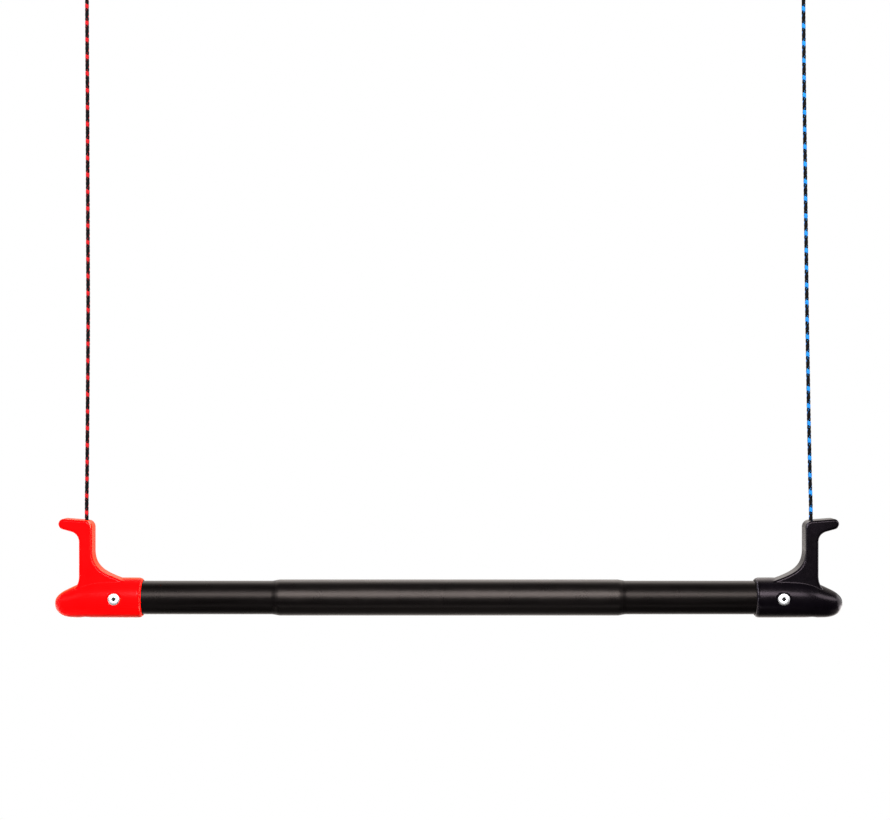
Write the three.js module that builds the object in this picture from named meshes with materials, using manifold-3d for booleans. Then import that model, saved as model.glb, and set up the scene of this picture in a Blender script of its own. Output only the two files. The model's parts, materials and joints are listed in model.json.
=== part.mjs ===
// A two-line kite control bar: an alloy tube under a padded skin, a moulded winder cap riveted
// on each end, and a braided leader line that rises out of each cap to an end loop.
// Millimetres. X runs along the bar, Z is up along the pulled lines, and the front faces -Y.
// The origin is on the tube's axis, half way along the bar. The caps are mirror images.
import * as THREE from "three";
import { mergeVertices } from "three/addons/utils/BufferGeometryUtils.js";
import Module from "manifold-3d";

const wasm = await Module();
wasm.setup();

// ---- Driving dimensions ----
const TUBE_OD = 19.05;
const TUBE_WALL = 1.5;
const TUBE_LENGTH = 449;
const SKIN_OD = 21.4;
const SKIN_WALL = 0.9;
const GRIP_OD = 23;
const GRIP_LENGTH = 221;
const STEP_LENGTH = 6;
const MOUTH_X = 195.4;
const SOCKET_END_X = 225.4;
const CAP_RADIUS = 12.75;
const PLATE_THICKNESS = 15;
const PLATE_ROUNDING = 1.7;
const LINE_X = 231.7;
const CAP_TOP_Z = 49.5;
const LINE_DIAMETER = 2.4;
const BORE_DIAMETER = 3;
const BORE_FOOT_Z = -10;
const RECESS_RADIUS = 3.4;
const RECESS_TOP_Z = -4.6;
const RIVET_X = 212.3;
const RIVET_SHANK = 4;
const RIVET_HEAD = 8;
const RIVET_HEAD_THICKNESS = 1.1;
const RIVET_BORE_RADIUS = 1.1;
const RIVET_TAIL_Y = 4.9;
const RIVET_BULGE_RADIUS = 2.7;
const MANDREL_RADIUS = 0.9;
const MANDREL_BALL_RADIUS = 1.6;
const BUNG_LENGTH = 18;
const BUNG_CHAMFER = 0.8;
const CLEARANCE = 0.3;
const SKIN_GAP = 0.15;

// ---- Values worked out from them ----
const TUBE_RADIUS = TUBE_OD / 2;
const TUBE_BORE = TUBE_RADIUS - TUBE_WALL;
const LINE_RADIUS = LINE_DIAMETER / 2;
const SOCKET_RADIUS = SKIN_OD / 2 + CLEARANCE;
const HALF_PLATE = PLATE_THICKNESS / 2;
const SEAT_Y = CAP_RADIUS - 0.85;
const SEAT_RADIUS = RIVET_HEAD / 2 + 0.5;
const RIVET_HOLE_RADIUS = RIVET_SHANK / 2 + 0.1;
const BUNG_END_X = RIVET_X - 2 * RIVET_SHANK;
const STOPPER_LENGTH = 6.2;
const STOPPER_RADIUS = RECESS_RADIUS - 0.5;
const PIVOT_Z = CAP_TOP_Z + 0.6;
const NECK_LENGTH = 6.5;
const NECK_TOP_Z = PIVOT_Z + NECK_LENGTH;
const ROUND_SIDES = 32;
const DRILL_SIDES = 16;
const RIVET_SIDES = 16;
const KNOT_SIDES = 12;
const MANDREL_SIDES = 10;
const LINE_SIDES = 8;

// The winder cap's rounded body: height of its upper and lower outlines at stations along X.
const BODY_OUTLINE = [
  [198, CAP_RADIUS, -CAP_RADIUS],
  [208, CAP_RADIUS, -CAP_RADIUS],
  [224, 12.1, -12.7],
  [232, 10.5, -12.7],
  [238, 8.1, -12.7],
  [243, 5.8, -12.4],
  [247, 3.7, -11.2],
  [249.6, 1.6, -9.2],
  [251.2, -0.6, -7],
  [251.8, -3.5, -3.5],
];

// Its rounded rim: distance in from the mouth, and how far the rim is short of the full radius.
const MOUTH_RIM = [[0, 1.45], [0.35, 1], [0.9, 0.5], [2, 0.05]];

// The leader lines' free runs, from the neck to the loop's knot: sideways place and height.
const LEFT_ROUTE = [
  [-231.7, 58.1], [-231.65, 66], [-231.5, 76], [-231.35, 92], [-231.2, 112], [-231.05, 134],
  [-230.9, 158], [-230.8, 182], [-230.85, 206], [-230.95, 230], [-231.0, 254], [-231.1, 278],
  [-231.15, 302], [-231.25, 326], [-231.4, 350], [-231.5, 372], [-231.55, 391],
];
const RIGHT_ROUTE = [
  [231.7, 58.1], [231.5, 66], [231.2, 76], [230.9, 92], [230.5, 112], [230.1, 134],
  [229.7, 158], [229.3, 182], [229.0, 206], [228.7, 230], [228.4, 254], [228.1, 278],
  [227.8, 302], [227.5, 326], [227.3, 350], [227.1, 372], [227.0, 391],
];
const LEADER_STEPS = 66;
const LOOP_STEPS = 26;
const KNOT_LENGTH = 8;
const KNOT_RADIUS = 3;
const LOOP_LENGTH = 28;
const LOOP_HALF_WIDTH = 4.6;

// One leg of the end loop, from its foot: fractions of the loop's half width and of its length.
const LOOP_LEG = [[0.3, 0], [0.34, 0.11], [0.7, 0.32], [1, 0.61], [0.78, 0.86]];

const { lerp, smoothstep } = THREE.MathUtils;

// ---- Solids ----

// Turns a closed geometry into a manifold solid.
function solid(geometry) {
  const bare = geometry.clone();
  bare.deleteAttribute("normal");
  bare.deleteAttribute("uv");
  const merged = mergeVertices(bare, 1e-4);
  const vertProperties = new Float32Array(merged.attributes.position.array);
  const corners = merged.index.array;
  const kept = [];
  for (let i = 0; i < corners.length; i += 3) {
    const [a, b, c] = [corners[i], corners[i + 1], corners[i + 2]];
    if (a !== b && b !== c && c !== a) kept.push(a, b, c);
  }
  const triVerts = new Uint32Array(kept);
  return new wasm.Manifold(new wasm.Mesh({ numProp: 3, vertProperties, triVerts }));
}

function geometryOf(manifold) {
  const { vertProperties, triVerts } = manifold.getMesh();
  const geometry = new THREE.BufferGeometry();
  geometry.setAttribute("position", new THREE.BufferAttribute(new Float32Array(vertProperties), 3));
  geometry.setIndex(new THREE.BufferAttribute(new Uint32Array(triVerts), 1));
  const faceted = geometry.toNonIndexed();
  faceted.computeVertexNormals();
  return faceted;
}

// A solid of revolution about X from [x, radius] rows that run towards +X.
function turned(rows, sides = ROUND_SIDES) {
  const profile = rows.map(([x, radius]) => new THREE.Vector2(radius, x));
  const geometry = new THREE.LatheGeometry(profile, sides);
  geometry.rotateZ(-Math.PI / 2);
  return geometry;
}

// A tube about X from [x, inner radius, outer radius] rows towards +X.
function sleeve(rows) {
  const outer = rows.map(([x, , radius]) => [x, radius]);
  const inner = rows.map(([x, radius]) => [x, radius]).reverse();
  return turned([...outer, ...inner, outer[0]]);
}

// A plain rod from z = low to z = high, for drilling.
function drill(radius, low, high, sides = DRILL_SIDES) {
  const geometry = new THREE.CylinderGeometry(radius, radius, high - low, sides);
  geometry.rotateX(Math.PI / 2);
  geometry.translate(0, 0, (low + high) / 2);
  return geometry;
}

// The same rod along Y, centred on the bar's mid-plane.
function crossDrill(radius, reach, x) {
  const geometry = new THREE.CylinderGeometry(radius, radius, 2 * reach, DRILL_SIDES);
  geometry.translate(x, 0, 0);
  return geometry;
}

function roundSection(radius, sides) {
  const section = new THREE.Shape();
  for (let i = 0; i < sides; i += 1) {
    const angle = (2 * Math.PI * i) / sides;
    const place = [radius * Math.cos(angle), radius * Math.sin(angle)];
    if (i === 0) section.moveTo(...place);
    else section.lineTo(...place);
  }
  section.closePath();
  return section;
}

function cordAlong(points, steps) {
  const path = new THREE.CatmullRomCurve3(points);
  return new THREE.ExtrudeGeometry(roundSection(LINE_RADIUS, LINE_SIDES), {
    steps,
    extrudePath: path,
  });
}

// ---- The bar ----

function barTube() {
  const half = TUBE_LENGTH / 2;
  let tube = solid(sleeve([[-half, TUBE_BORE, TUBE_RADIUS], [half, TUBE_BORE, TUBE_RADIUS]]));
  for (const side of [-1, 1]) {
    tube = tube.subtract(solid(crossDrill(RIVET_HOLE_RADIUS, TUBE_OD, side * RIVET_X)));
  }
  return geometryOf(tube);
}

// The skin's outside: narrow at both ends, with a smooth step up onto the padded middle.
function skinRadius(x) {
  const start = GRIP_LENGTH / 2 - STEP_LENGTH / 2;
  const outwards = smoothstep(Math.abs(x), start, start + STEP_LENGTH);
  return lerp(GRIP_OD / 2, SKIN_OD / 2, outwards);
}

function tubeCover() {
  const half = TUBE_LENGTH / 2;
  const stations = [-half];
  const stepStations = 5;
  for (const side of [-1, 1]) {
    for (let i = 0; i < stepStations; i += 1) {
      const along = i / (stepStations - 1) - 0.5;
      stations.push(side * (GRIP_LENGTH / 2) + along * STEP_LENGTH);
    }
  }
  stations.push(half);
  const rows = stations.map((x) => [x, skinRadius(x) - SKIN_WALL, skinRadius(x)]);
  let cover = solid(sleeve(rows));
  for (const side of [-1, 1]) {
    cover = cover.subtract(solid(crossDrill(RIVET_HOLE_RADIUS, SKIN_OD, side * RIVET_X)));
  }
  return geometryOf(cover);
}

// The pad fills the step between the tube and the raised middle of the skin.
function gripPad() {
  const half = GRIP_LENGTH / 2 - STEP_LENGTH / 2;
  const inner = TUBE_RADIUS + SKIN_GAP;
  const outer = GRIP_OD / 2 - SKIN_WALL - SKIN_GAP;
  return sleeve([[-half, inner, outer], [half, inner, outer]]);
}

// A closed-cell bung inboard of each pair of rivets keeps water out of the tube.
function tubeBung(side) {
  const radius = TUBE_BORE - SKIN_GAP;
  const start = BUNG_END_X - BUNG_LENGTH;
  const geometry = turned([
    [start, 0], [start, radius - BUNG_CHAMFER], [start + BUNG_CHAMFER, radius],
    [BUNG_END_X, radius], [BUNG_END_X, 0],
  ]);
  return side > 0 ? geometry : geometry.rotateZ(Math.PI);
}

// ---- The winder caps ----

// Side outline of the upright plate: stem, outward hook at the top, and a sweep to the sleeve.
function plateOutline() {
  const slope = THREE.MathUtils.degToRad(5);
  const underside = THREE.MathUtils.degToRad(17);
  const tip = { x: 245.25, z: 47.3, radius: 3.35 };
  const corner = { x: 231.6, z: 45.1, radius: 4.5 };
  const foot = { x: 203, low: -2, high: 9.9 };
  const stem = { inner: corner.x - corner.radius, outer: 235.5 };
  const outline = new THREE.Shape();
  outline.moveTo(foot.x, foot.low);
  outline.lineTo(236, foot.low);
  outline.lineTo(238.2, 6.6);
  outline.quadraticCurveTo(235.7, 9, stem.outer, 13.5);
  outline.lineTo(stem.outer, 36);
  outline.quadraticCurveTo(236, 41.6, 241.3, 42.7);
  outline.absarc(tip.x, tip.z, tip.radius, underside - Math.PI / 2, slope + Math.PI / 2);
  outline.absarc(corner.x, corner.z, corner.radius, slope + Math.PI / 2, Math.PI);
  outline.lineTo(stem.inner, 30);
  outline.bezierCurveTo(226.8, 18.5, 219.5, 15.6, foot.x, foot.high);
  outline.closePath();
  return outline;
}

function capPlate() {
  const geometry = new THREE.ExtrudeGeometry(plateOutline(), {
    depth: PLATE_THICKNESS - 2 * PLATE_ROUNDING,
    curveSegments: 6,
    bevelSize: PLATE_ROUNDING,
    bevelOffset: -PLATE_ROUNDING,
    bevelThickness: PLATE_ROUNDING,
    bevelSegments: 2,
  });
  geometry.rotateX(Math.PI / 2);
  geometry.translate(0, HALF_PLATE - PLATE_ROUNDING, 0);
  return geometry;
}

// The body is round in every section across X, and its centre drops as it narrows to the nose.
function capBody() {
  const outline = new THREE.CatmullRomCurve3(
    BODY_OUTLINE.map(([x, top, bottom]) => new THREE.Vector3(x, top, bottom)),
  );
  const rings = outline.getPoints(12);
  const rows = rings.map((p) => [p.x, Math.max(0, (p.y - p.z) / 2)]);
  const rim = MOUTH_RIM.map(([inwards, short]) => [MOUTH_X + inwards, CAP_RADIUS - short]);
  const geometry = turned([[MOUTH_X, 0], ...rim, ...rows]);
  const middles = rings.map((p) => [p.x, (p.y + p.z) / 2]);
  const place = geometry.attributes.position;
  for (let i = 0; i < place.count; i += 1) {
    const x = place.getX(i);
    const ring = middles.find(([station]) => Math.abs(station - x) < 1e-3);
    if (ring) place.setZ(i, place.getZ(i) + ring[1]);
  }
  return geometry;
}

// A countersink that lets the line bend over at the mouth of its bore.
function boreMouth() {
  const radius = BORE_DIAMETER / 2;
  const depth = 0.9;
  const spread = 1.5;
  const [low, high] = [CAP_TOP_Z - depth, CAP_TOP_Z + depth];
  const cone = turned([[low, 0], [low, radius], [high, radius + spread], [high, 0]], DRILL_SIDES);
  return cone.rotateY(-Math.PI / 2).translate(LINE_X, 0, 0);
}

// The blind socket that takes the end of the skinned tube.
function socket() {
  const open = MOUTH_X - 2;
  return turned([
    [open, 0], [open, SOCKET_RADIUS], [SOCKET_END_X, SOCKET_RADIUS], [SOCKET_END_X, 0],
  ]);
}

// A flat seat for a rivet's head, sunk into the front or the back of the sleeve.
function rivetSeat(front) {
  const depth = 4;
  const seat = new THREE.CylinderGeometry(SEAT_RADIUS, SEAT_RADIUS, depth, DRILL_SIDES);
  return seat.translate(RIVET_X, front * (SEAT_Y + depth / 2), 0);
}

// The right-hand cap: plate and body in one moulding, hollowed for the tube, line and rivets.
function rightCap() {
  let cap = solid(capPlate()).add(solid(capBody()));
  const cuts = [
    socket(),
    drill(BORE_DIAMETER / 2, BORE_FOOT_Z, CAP_TOP_Z + 5).translate(LINE_X, 0, 0),
    drill(RECESS_RADIUS, -2 * CAP_RADIUS, RECESS_TOP_Z).translate(LINE_X, 0, 0),
    crossDrill(RIVET_SHANK / 2 + SKIN_GAP, 2 * CAP_RADIUS, RIVET_X),
    boreMouth(),
    rivetSeat(-1),
    rivetSeat(1),
  ];
  for (const cut of cuts) cap = cap.subtract(solid(cut));
  return cap;
}

function endCap(side) {
  const cap = rightCap();
  return geometryOf(side > 0 ? cap : cap.mirror([1, 0, 0]));
}

// ---- Blind rivets, turned about the cross axis of the bar ----

// Places a lathe made along X so that its +X end points out of the bar's front or back.
function acrossBar(geometry, side, front) {
  geometry.rotateZ((front * Math.PI) / 2);
  return geometry.translate(side * RIVET_X, 0, 0);
}

// A blind rivet: its tail bulges behind the tube's wall, and its head lies in the cap's seat.
function rivet(side, front) {
  const shank = RIVET_SHANK / 2;
  const head = RIVET_HEAD / 2;
  const base = SEAT_Y + 0.2;
  const top = base + RIVET_HEAD_THICKNESS;
  const grip = TUBE_BORE - 0.6;
  return acrossBar(turned([
    [RIVET_TAIL_Y, RIVET_BORE_RADIUS], [RIVET_TAIL_Y, shank - 0.1],
    [RIVET_TAIL_Y + 0.8, RIVET_BULGE_RADIUS], [RIVET_TAIL_Y + 1.8, RIVET_BULGE_RADIUS],
    [grip, shank], [base, shank], [base, head], [base + 0.35, head],
    [top - 0.25, 0.75 * head], [top, 0.45 * head], [top, RIVET_BORE_RADIUS],
    [RIVET_TAIL_Y, RIVET_BORE_RADIUS],
  ], RIVET_SIDES), side, front);
}

// What is left of the pulled mandrel: its head closes the rivet's tail, and its stem broke off inside.
function mandrel(side, front) {
  const ballEnd = RIVET_TAIL_Y - 0.2;
  const ballStart = ballEnd - 1.5;
  const broken = SEAT_Y - 0.2;
  return acrossBar(turned([
    [ballStart, 0], [ballStart + 0.2, 0.7 * MANDREL_BALL_RADIUS],
    [ballStart + 0.9, MANDREL_BALL_RADIUS], [ballEnd, MANDREL_BALL_RADIUS],
    [ballEnd, MANDREL_RADIUS], [broken - 0.3, MANDREL_RADIUS],
    [broken, 0.55 * MANDREL_RADIUS], [broken, 0],
  ], MANDREL_SIDES), side, front);
}

// ---- The leader lines ----

// The part of the leader that stays put, from the stopper knot up the bore to the mouth.
function leaderStub(side) {
  const top = PIVOT_Z - LINE_RADIUS - CLEARANCE;
  const foot = RECESS_TOP_Z - CLEARANCE;
  return drill(LINE_RADIUS, foot, top, LINE_SIDES).translate(side * LINE_X, 0, 0);
}

// A barrel-shaped knot about Z.
function knot(low, high, radius) {
  const middle = (low + high) / 2;
  const geometry = turned([
    [low, 0], [low, 0.62 * radius], [lerp(low, middle, 0.45), radius],
    [lerp(high, middle, 0.45), radius], [high, 0.62 * radius], [high, 0],
  ], KNOT_SIDES);
  return geometry.rotateY(-Math.PI / 2);
}

function stopperKnot(side) {
  const high = RECESS_TOP_Z - 2 * CLEARANCE;
  return knot(high - STOPPER_LENGTH, high, STOPPER_RADIUS).translate(side * LINE_X, 0, 0);
}

// The short neck turns at the mouth; its round ends are centred on the two swing axes.
function leaderNeck(side) {
  const arc = [-90, -60, -30, 0];
  const round = arc.map((angle) => {
    const turn = THREE.MathUtils.degToRad(angle);
    return [LINE_RADIUS * Math.sin(turn), LINE_RADIUS * Math.cos(turn)];
  });
  const lower = round.map(([x, radius]) => [PIVOT_Z + x, Math.max(0, radius)]);
  const upper = round.map(([x, radius]) => [NECK_TOP_Z - x, Math.max(0, radius)]).reverse();
  const geometry = turned([...lower, ...upper], LINE_SIDES);
  return geometry.rotateY(-Math.PI / 2).translate(side * LINE_X, 0, 0);
}

function route(side) {
  const rows = side < 0 ? LEFT_ROUTE : RIGHT_ROUTE;
  return rows.map(([x, z]) => new THREE.Vector3(x, 0, z));
}

function leaderLine(side) {
  return cordAlong(route(side), LEADER_STEPS);
}

function loopKnot(side) {
  const end = route(side).at(-1);
  const low = end.z + CLEARANCE;
  return knot(low, low + KNOT_LENGTH, KNOT_RADIUS).translate(end.x, 0, 0);
}

// The doubled end of the line above the knot: two legs that part into a long eye.
function endLoop(side) {
  const end = route(side).at(-1);
  const base = end.z + KNOT_LENGTH + 2 * CLEARANCE;
  const legs = LOOP_LEG.map(([w, h]) => [w * LOOP_HALF_WIDTH, h * LOOP_LENGTH]);
  const half = legs.map(([x, z]) => new THREE.Vector3(end.x + x, 0, base + z));
  const other = legs.map(([x, z]) => new THREE.Vector3(end.x - x, 0, base + z)).reverse();
  const top = new THREE.Vector3(end.x, 0, base + LOOP_LENGTH);
  return cordAlong([...half, top, ...other], LOOP_STEPS);
}

// ---- Assembly ----

const finish = {
  redPlastic: { color: 0xe8100c, roughness: 0.3, metalness: 0 },
  blackPlastic: { color: 0x0c0a0c, roughness: 0.35, metalness: 0 },
  skin: { color: 0x141213, roughness: 0.55, metalness: 0 },
  foam: { color: 0x2a2a2c, roughness: 0.95, metalness: 0 },
  alloy: { color: 0xb9bcc0, roughness: 0.35, metalness: 1 },
  rivetAlloy: { color: 0xe4e6e8, roughness: 0.25, metalness: 1 },
  steel: { color: 0x5c5e62, roughness: 0.4, metalness: 1 },
  redLine: { color: 0x3a0c10, roughness: 0.8, metalness: 0 },
  blueLine: { color: 0x0e1c3a, roughness: 0.8, metalness: 0 },
};

const group = new THREE.Group();

function addPiece(name, geometry, look) {
  const mesh = new THREE.Mesh(geometry, new THREE.MeshStandardMaterial(look));
  mesh.name = name;
  group.add(mesh);
}

addPiece("bar_tube", barTube(), finish.alloy);
addPiece("grip_pad", gripPad(), finish.foam);
addPiece("tube_cover", tubeCover(), finish.skin);

for (const [name, side] of [["left", -1], ["right", 1]]) {
  const line = side < 0 ? finish.redLine : finish.blueLine;
  addPiece(`end_cap_${name}`, endCap(side), side < 0 ? finish.redPlastic : finish.blackPlastic);
  addPiece(`tube_bung_${name}`, tubeBung(side), finish.foam);
  for (const [face, front] of [["front", -1], ["back", 1]]) {
    addPiece(`rivet_${name}_${face}`, rivet(side, front), finish.rivetAlloy);
    addPiece(`mandrel_${name}_${face}`, mandrel(side, front), finish.steel);
  }
  addPiece(`stopper_knot_${name}`, stopperKnot(side), line);
  addPiece(`leader_stub_${name}`, leaderStub(side), line);
  addPiece(`leader_neck_${name}`, leaderNeck(side), line);
  addPiece(`leader_line_${name}`, leaderLine(side), line);
  addPiece(`loop_knot_${name}`, loopKnot(side), line);
  addPiece(`end_loop_${name}`, endLoop(side), line);
}

export default group;
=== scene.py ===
import json
import math

import bmesh
import bpy
import numpy as np
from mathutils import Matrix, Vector


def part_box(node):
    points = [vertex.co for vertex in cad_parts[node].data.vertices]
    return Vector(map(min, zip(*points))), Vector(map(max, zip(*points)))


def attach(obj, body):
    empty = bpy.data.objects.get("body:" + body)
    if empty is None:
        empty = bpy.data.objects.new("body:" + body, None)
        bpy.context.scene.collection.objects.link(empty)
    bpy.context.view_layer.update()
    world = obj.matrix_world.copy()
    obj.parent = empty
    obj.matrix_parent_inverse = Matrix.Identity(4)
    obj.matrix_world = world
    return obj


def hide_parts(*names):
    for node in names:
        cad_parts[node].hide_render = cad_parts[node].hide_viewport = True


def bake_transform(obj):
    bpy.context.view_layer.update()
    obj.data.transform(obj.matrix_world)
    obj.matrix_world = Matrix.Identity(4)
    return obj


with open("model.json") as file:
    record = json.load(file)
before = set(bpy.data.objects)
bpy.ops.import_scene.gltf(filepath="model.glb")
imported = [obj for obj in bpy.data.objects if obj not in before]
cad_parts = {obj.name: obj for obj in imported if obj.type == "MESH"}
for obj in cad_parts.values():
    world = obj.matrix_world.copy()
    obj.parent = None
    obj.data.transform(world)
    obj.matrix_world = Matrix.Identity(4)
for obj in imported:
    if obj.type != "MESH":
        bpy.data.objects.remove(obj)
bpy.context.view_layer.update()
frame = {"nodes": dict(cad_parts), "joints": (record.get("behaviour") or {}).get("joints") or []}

MM = 0.001
SIDES = {"left": -1, "right": 1}
FACES = {"front": -1, "back": 1}

# ---------------------------------------------------------------- sizes, from the frame

CAP_LOW, CAP_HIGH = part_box("end_cap_right")
_, COVER_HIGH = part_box("tube_cover")
RIVET_LOW, RIVET_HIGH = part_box("rivet_right_front")
MANDREL_LOW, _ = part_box("mandrel_right_front")
STUB_LOW, STUB_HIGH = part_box("leader_stub_right")
STOPPER_LOW, STOPPER_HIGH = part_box("stopper_knot_right")
LOOP_KNOT_LOW, LOOP_KNOT_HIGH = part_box("loop_knot_right")
END_LOOP_LOW, END_LOOP_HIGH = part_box("end_loop_right")
PIVOT = {joint["name"]: Vector(joint["pos_m"]) for joint in frame["joints"]}

LINE_X = (STUB_LOW.x + STUB_HIGH.x) / 2
LINE_RADIUS = (STUB_HIGH.y - STUB_LOW.y) / 2
RIVET_X = (RIVET_LOW.x + RIVET_HIGH.x) / 2
RIVET_HEAD_RADIUS = (RIVET_HIGH.x - RIVET_LOW.x) / 2
MOUTH_X = CAP_LOW.x
NOSE_X = CAP_HIGH.x
CAP_RADIUS = CAP_HIGH.y
GRIP_RADIUS = COVER_HIGH.y
MOUTH_PIVOT_Z = PIVOT["right_leader_fore_aft"].z
NECK_PIVOT_Z = PIVOT["right_leader_side_swing"].z

# ---------------------------------------------------------------- camera


def make_camera():
    """Level, in front of the bar and a little above it, where the photograph was taken from."""
    distance, height, sideways = 1.2, 0.120, -0.0024
    view_width, sensor = 0.5696, 36
    data = bpy.data.cameras.new("camera")
    data.sensor_width = sensor
    data.lens = sensor * distance / view_width
    camera = bpy.data.objects.new("camera", data)
    camera.location = (sideways, -distance, height)
    camera.rotation_euler = (math.radians(90), 0, 0)
    bpy.context.scene.collection.objects.link(camera)
    bpy.context.scene.camera = camera


# ---------------------------------------------------------------- values in shader trees


def map_range(tree, value, start, stop, low, high, interpolation):
    made = tree.nodes.new("ShaderNodeMapRange")
    made.interpolation_type = interpolation
    for socket, setting in zip(("From Min", "From Max", "To Min", "To Max"), (start, stop, low, high)):
        made.inputs[socket].default_value = setting
    tree.links.new(value, made.inputs["Value"])
    return made.outputs["Result"]


def smooth_step(tree, value, start, stop, low, high):
    """A smooth ramp of value, from low at start to high at stop."""
    return map_range(tree, value, start, stop, low, high, "SMOOTHSTEP")


def ranged(tree, value, low, high, start=0.3, stop=0.7):
    """value from start..stop spread evenly over low..high; a noise lies mostly in 0.3..0.7."""
    return map_range(tree, value, start, stop, low, high, "LINEAR")


def calculated(tree, operation, *values):
    made = tree.nodes.new("ShaderNodeMath")
    made.operation = operation
    for value, socket in zip(values, made.inputs):
        tree.links.new(value, socket)
    return made.outputs[0]


def product(tree, value, *others):
    for other in others:
        value = calculated(tree, "MULTIPLY", value, other)
    return value


def total(tree, value, *others):
    for other in others:
        value = calculated(tree, "ADD", value, other)
    return value


def magnitude(tree, value):
    return calculated(tree, "ABSOLUTE", value)


def axes(tree, vector):
    """The X, Y and Z of a vector socket, by name."""
    split = tree.nodes.new("ShaderNodeSeparateXYZ")
    tree.links.new(vector, split.inputs[0])
    return split.outputs


def camera_sees(tree, seen, lighting):
    """One shader for the camera's own rays and another for the light that is given."""
    path = tree.nodes.new("ShaderNodeLightPath")
    mix = tree.nodes.new("ShaderNodeMixShader")
    tree.links.new(path.outputs["Is Camera Ray"], mix.inputs["Fac"])
    tree.links.new(lighting.outputs[0], mix.inputs[1])
    tree.links.new(seen.outputs[0], mix.inputs[2])
    return mix.outputs[0]


# ---------------------------------------------------------------- light and floor

WARM_WHITE = (1.0, 0.93, 0.88, 1)


def make_world():
    """White to the eye. Its light is a backdrop behind the bar, brighter upwards and dimmer sideways."""
    front_level, ceiling_level = 0.02, 0.1
    horizon_level, upper_level, side_level = 0.8, 3.6, 0.22
    world = bpy.data.worlds.new("studio")
    world.use_nodes = True
    bpy.context.scene.world = world
    tree = world.node_tree
    tree.nodes.clear()
    direction = axes(tree, tree.nodes.new("ShaderNodeTexCoord").outputs["Generated"])
    behind = smooth_step(tree, direction["Y"], 0.0, 0.3, front_level, 1.0)
    below_ceiling = smooth_step(tree, direction["Z"], 1.0, 0.78, ceiling_level, 1.0)
    upwards = smooth_step(tree, direction["Z"], 0.1, 0.75, horizon_level, upper_level)
    sideways = smooth_step(tree, magnitude(tree, direction["X"]), 0.0, 0.65, 1.0, side_level)
    lighting = tree.nodes.new("ShaderNodeBackground")
    lighting.inputs["Color"].default_value = WARM_WHITE
    tree.links.new(product(tree, behind, below_ceiling, upwards, sideways), lighting.inputs["Strength"])
    seen = tree.nodes.new("ShaderNodeBackground")
    seen.inputs["Color"].default_value = (1, 1, 1, 1)
    out = tree.nodes.new("ShaderNodeOutputWorld")
    tree.links.new(camera_sees(tree, seen, lighting), out.inputs["Surface"])


def area_light(name, place, size, power):
    """A rectangular lamp that faces the middle of the bar."""
    middle_of_bar = Vector((0, 0, 0))
    data = bpy.data.lights.new(name, "AREA")
    data.shape = "RECTANGLE"
    data.size, data.size_y = size
    data.energy = power
    light = bpy.data.objects.new(name, data)
    light.location = place
    light.rotation_euler = (middle_of_bar - Vector(place)).to_track_quat("-Z", "Y").to_euler()
    bpy.context.scene.collection.objects.link(light)


def make_lights():
    """Wide and narrow softboxes over the camera, three lights at each side, and a dim card below."""
    over_camera = (0, -1.8, 0.92)
    area_light("softbox_wide", place=over_camera, size=(2.2, 0.7), power=30)
    area_light("softbox_centre", place=over_camera, size=(0.6, 0.7), power=108)
    for name, side in SIDES.items():
        area_light(f"panel_{name}", place=(side * 1.9, 0.5, 0.2), size=(1.8, 1.6), power=24)
        area_light(f"softbox_{name}", place=(side * 1.8, -1.0, 1.0), size=(1.3, 0.6), power=17)
        area_light(f"fill_{name}", place=(side * 1.2, 0.6, -0.5), size=(1.0, 0.5), power=9)
    area_light("low_card", place=(0, -0.38, -0.52), size=(0.6, 0.2), power=0.3)


def floor_glow(tree, place):
    """How brightly the floor lights the bar: from behind, from both sides, and a little from beneath."""
    behind_level, beside_level, left_end_level = 1.3, 0.9, 1.2
    under_middle_level, under_ends_level = 0.25, 0.04
    at = axes(tree, place)
    from_middle = magnitude(tree, at["X"])
    behind = smooth_step(tree, at["Y"], 0.05, 0.8, 0.0, behind_level)
    beside = product(tree, smooth_step(tree, from_middle, 0.45, 0.9, 0.0, beside_level),
                     smooth_step(tree, at["Y"], -0.4, 0.1, 0.0, 1.0))
    left_end = smooth_step(tree, at["X"], -0.44, -0.30, left_end_level, 0.0)
    under = smooth_step(tree, from_middle, 0.05, 0.25, under_middle_level, under_ends_level)
    beneath = product(tree, total(tree, left_end, under),
                      smooth_step(tree, at["Y"], -0.45, -0.15, 0.0, 1.0))
    return total(tree, behind, beside, beneath)


def floor_material():
    """White to a camera above it, and clear to one below."""
    material = bpy.data.materials.new("floor_white")
    material.use_nodes = True
    tree = material.node_tree
    tree.nodes.clear()
    geometry = tree.nodes.new("ShaderNodeNewGeometry")
    lighting = tree.nodes.new("ShaderNodeEmission")
    lighting.inputs["Color"].default_value = WARM_WHITE
    tree.links.new(floor_glow(tree, geometry.outputs["Position"]), lighting.inputs["Strength"])
    seen = tree.nodes.new("ShaderNodeEmission")
    clear = tree.nodes.new("ShaderNodeBsdfTransparent")
    by_face = tree.nodes.new("ShaderNodeMixShader")
    tree.links.new(geometry.outputs["Backfacing"], by_face.inputs["Fac"])
    tree.links.new(camera_sees(tree, seen, lighting), by_face.inputs[1])
    tree.links.new(clear.outputs[0], by_face.inputs[2])
    out = tree.nodes.new("ShaderNodeOutputMaterial")
    tree.links.new(by_face.outputs[0], out.inputs["Surface"])
    return material


def make_floor():
    """A wide floor far below the bar."""
    half, level = 6, -0.55
    mesh = bpy.data.meshes.new("floor")
    mesh.from_pydata([(-half, -half, level), (half, -half, level), (half, half, level),
                      (-half, half, level)], [], [(0, 1, 2, 3)])
    mesh.materials.append(floor_material())
    floor = bpy.data.objects.new("floor", mesh)
    bpy.context.scene.collection.objects.link(floor)


# ---------------------------------------------------------------- materials


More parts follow.
